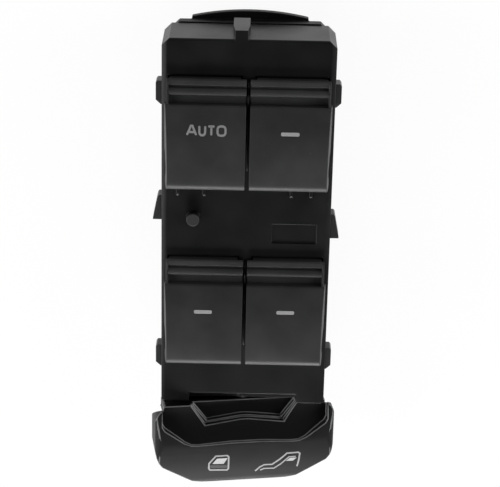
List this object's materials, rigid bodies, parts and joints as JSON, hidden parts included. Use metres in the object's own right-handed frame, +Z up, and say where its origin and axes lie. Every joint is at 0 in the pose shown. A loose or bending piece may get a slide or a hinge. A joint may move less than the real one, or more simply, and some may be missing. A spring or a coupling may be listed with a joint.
{
  "type": "power window switch",
  "caption": "Driver's window switch module: push-pull paddles in two rows and a D-shaped lock-out rocker on a long black clip-in housing.",
  "frame": {"origin": "on the flat bottom of the base cover, under the middle of the deck between the paddle rows", "axes": "+X across to the module's right, +Y forward along it towards the end wall with the rib, +Z up out of the deck"},
  "size_m": [0.0472, 0.1213, 0.029],
  "materials": {
    "housing_plastic": "moulded black plastic with a fine spark grain",
    "base_plastic": "moulded black plastic",
    "paddle_paint": "satin black soft-touch paint",
    "rocker_paint": "satin black soft-touch paint",
    "board": "green solder mask",
    "header_plastic": "moulded black plastic",
    "terminal_brass": "tinned brass",
    "silicone": "translucent grey silicone",
    "chip_plastic": "matt moulding compound",
    "lamp": "clear yellow resin",
    "clear_acrylic": "clear polished acrylic",
    "plunger_plastic": "natural acetal",
    "pin_steel": "ground steel"
  },
  "bodies": {
    "module": {"housing": "housing_plastic", "base_cover": "base_plastic", "circuit_board": "board", "connector_header": "header_plastic", "terminal_pins": "terminal_brass", "dome_mat_front": "silicone", "dome_mat_rear": "silicone", "control_chip": "chip_plastic", "driver_chip": "chip_plastic", "resistors": "chip_plastic", "lamps": "lamp", "light_guide_front_left": "clear_acrylic", "light_guide_front_right": "clear_acrylic", "light_guide_rear_left": "clear_acrylic", "light_guide_rear_right": "clear_acrylic", "lock_pin": "pin_steel", "lock_switch": "header_plastic"},
    "paddle_front_left": {"paddle_front_left": "paddle_paint"},
    "raise_plunger_front_left": {"raise_plunger_front_left": "plunger_plastic"},
    "lower_plunger_front_left": {"lower_plunger_front_left": "plunger_plastic"},
    "paddle_front_right": {"paddle_front_right": "paddle_paint"},
    "raise_plunger_front_right": {"raise_plunger_front_right": "plunger_plastic"},
    "lower_plunger_front_right": {"lower_plunger_front_right": "plunger_plastic"},
    "paddle_rear_left": {"paddle_rear_left": "paddle_paint"},
    "raise_plunger_rear_left": {"raise_plunger_rear_left": "plunger_plastic"},
    "lower_plunger_rear_left": {"lower_plunger_rear_left": "plunger_plastic"},
    "paddle_rear_right": {"paddle_rear_right": "paddle_paint"},
    "raise_plunger_rear_right": {"raise_plunger_rear_right": "plunger_plastic"},
    "lower_plunger_rear_right": {"lower_plunger_rear_right": "plunger_plastic"},
    "lock_rocker": {"lock_rocker": "rocker_paint"},
    "lock_slider": {"lock_slider": "plunger_plastic"}
  },
  "joints": [
    {"name": "paddle_front_left_hinge", "type": "hinge", "parent": "module", "child": "paddle_front_left", "pos_m": [-0.0103, 0.035, 0.0201], "axis": [1, 0, 0], "range_deg": [-6, 6], "stiffness_Nm_per_rad": 0.6},
    {"name": "raise_plunger_front_left_slide", "type": "slide", "parent": "module", "child": "raise_plunger_front_left", "axis": [0, 0, 1], "range_m": [-0.0005, 0.0005]},
    {"name": "lower_plunger_front_left_slide", "type": "slide", "parent": "module", "child": "lower_plunger_front_left", "axis": [0, 0, 1], "range_m": [-0.00065, 0.00065], "deforming": ["dome_mat_front"]},
    {"name": "paddle_front_right_hinge", "type": "hinge", "parent": "module", "child": "paddle_front_right", "pos_m": [0.0103, 0.035, 0.0201], "axis": [1, 0, 0], "range_deg": [-6, 6], "stiffness_Nm_per_rad": 0.6},
    {"name": "raise_plunger_front_right_slide", "type": "slide", "parent": "module", "child": "raise_plunger_front_right", "axis": [0, 0, 1], "range_m": [-0.0005, 0.0005]},
    {"name": "lower_plunger_front_right_slide", "type": "slide", "parent": "module", "child": "lower_plunger_front_right", "axis": [0, 0, 1], "range_m": [-0.00065, 0.00065]},
    {"name": "paddle_rear_left_hinge", "type": "hinge", "parent": "module", "child": "paddle_rear_left", "pos_m": [-0.0103, -0.0115, 0.0201], "axis": [1, 0, 0], "range_deg": [-6, 6], "stiffness_Nm_per_rad": 0.6},
    {"name": "raise_plunger_rear_left_slide", "type": "slide", "parent": "module", "child": "raise_plunger_rear_left", "axis": [0, 0, 1], "range_m": [-0.0005, 0.0005]},
    {"name": "lower_plunger_rear_left_slide", "type": "slide", "parent": "module", "child": "lower_plunger_rear_left", "axis": [0, 0, 1], "range_m": [-0.00065, 0.00065], "deforming": ["dome_mat_rear"]},
    {"name": "paddle_rear_right_hinge", "type": "hinge", "parent": "module", "child": "paddle_rear_right", "pos_m": [0.0103, -0.0115, 0.0201], "axis": [1, 0, 0], "range_deg": [-6, 6], "stiffness_Nm_per_rad": 0.6},
    {"name": "raise_plunger_rear_right_slide", "type": "slide", "parent": "module", "child": "raise_plunger_rear_right", "axis": [0, 0, 1], "range_m": [-0.0005, 0.0005]},
    {"name": "lower_plunger_rear_right_slide", "type": "slide", "parent": "module", "child": "lower_plunger_rear_right", "axis": [0, 0, 1], "range_m": [-0.00065, 0.00065]},
    {"name": "lock_rocker_hinge", "type": "hinge", "parent": "module", "child": "lock_rocker", "pos_m": [0, -0.052, 0.0174], "axis": [0, -1, 0], "range_deg": [0, 18]},
    {"name": "lock_slider_slide", "type": "slide", "parent": "module", "child": "lock_slider", "axis": [1, 0, 0], "range_m": [0, 0.0027]}
  ],
  "couplings": [
    {"joint": "raise_plunger_front_left_slide", "follows": "paddle_front_left_hinge", "m_per_rad": 0.0047},
    {"joint": "lower_plunger_front_left_slide", "follows": "paddle_front_left_hinge", "m_per_rad": -0.0061},
    {"joint": "raise_plunger_front_right_slide", "follows": "paddle_front_right_hinge", "m_per_rad": 0.0047},
    {"joint": "lower_plunger_front_right_slide", "follows": "paddle_front_right_hinge", "m_per_rad": -0.0061},
    {"joint": "raise_plunger_rear_left_slide", "follows": "paddle_rear_left_hinge", "m_per_rad": 0.0047},
    {"joint": "lower_plunger_rear_left_slide", "follows": "paddle_rear_left_hinge", "m_per_rad": -0.0061},
    {"joint": "raise_plunger_rear_right_slide", "follows": "paddle_rear_right_hinge", "m_per_rad": 0.0047},
    {"joint": "lower_plunger_rear_right_slide", "follows": "paddle_rear_right_hinge", "m_per_rad": -0.0061},
    {"joint": "lock_slider_slide", "follows": "lock_rocker_hinge", "m_per_rad": 0.008365}
  ]
}
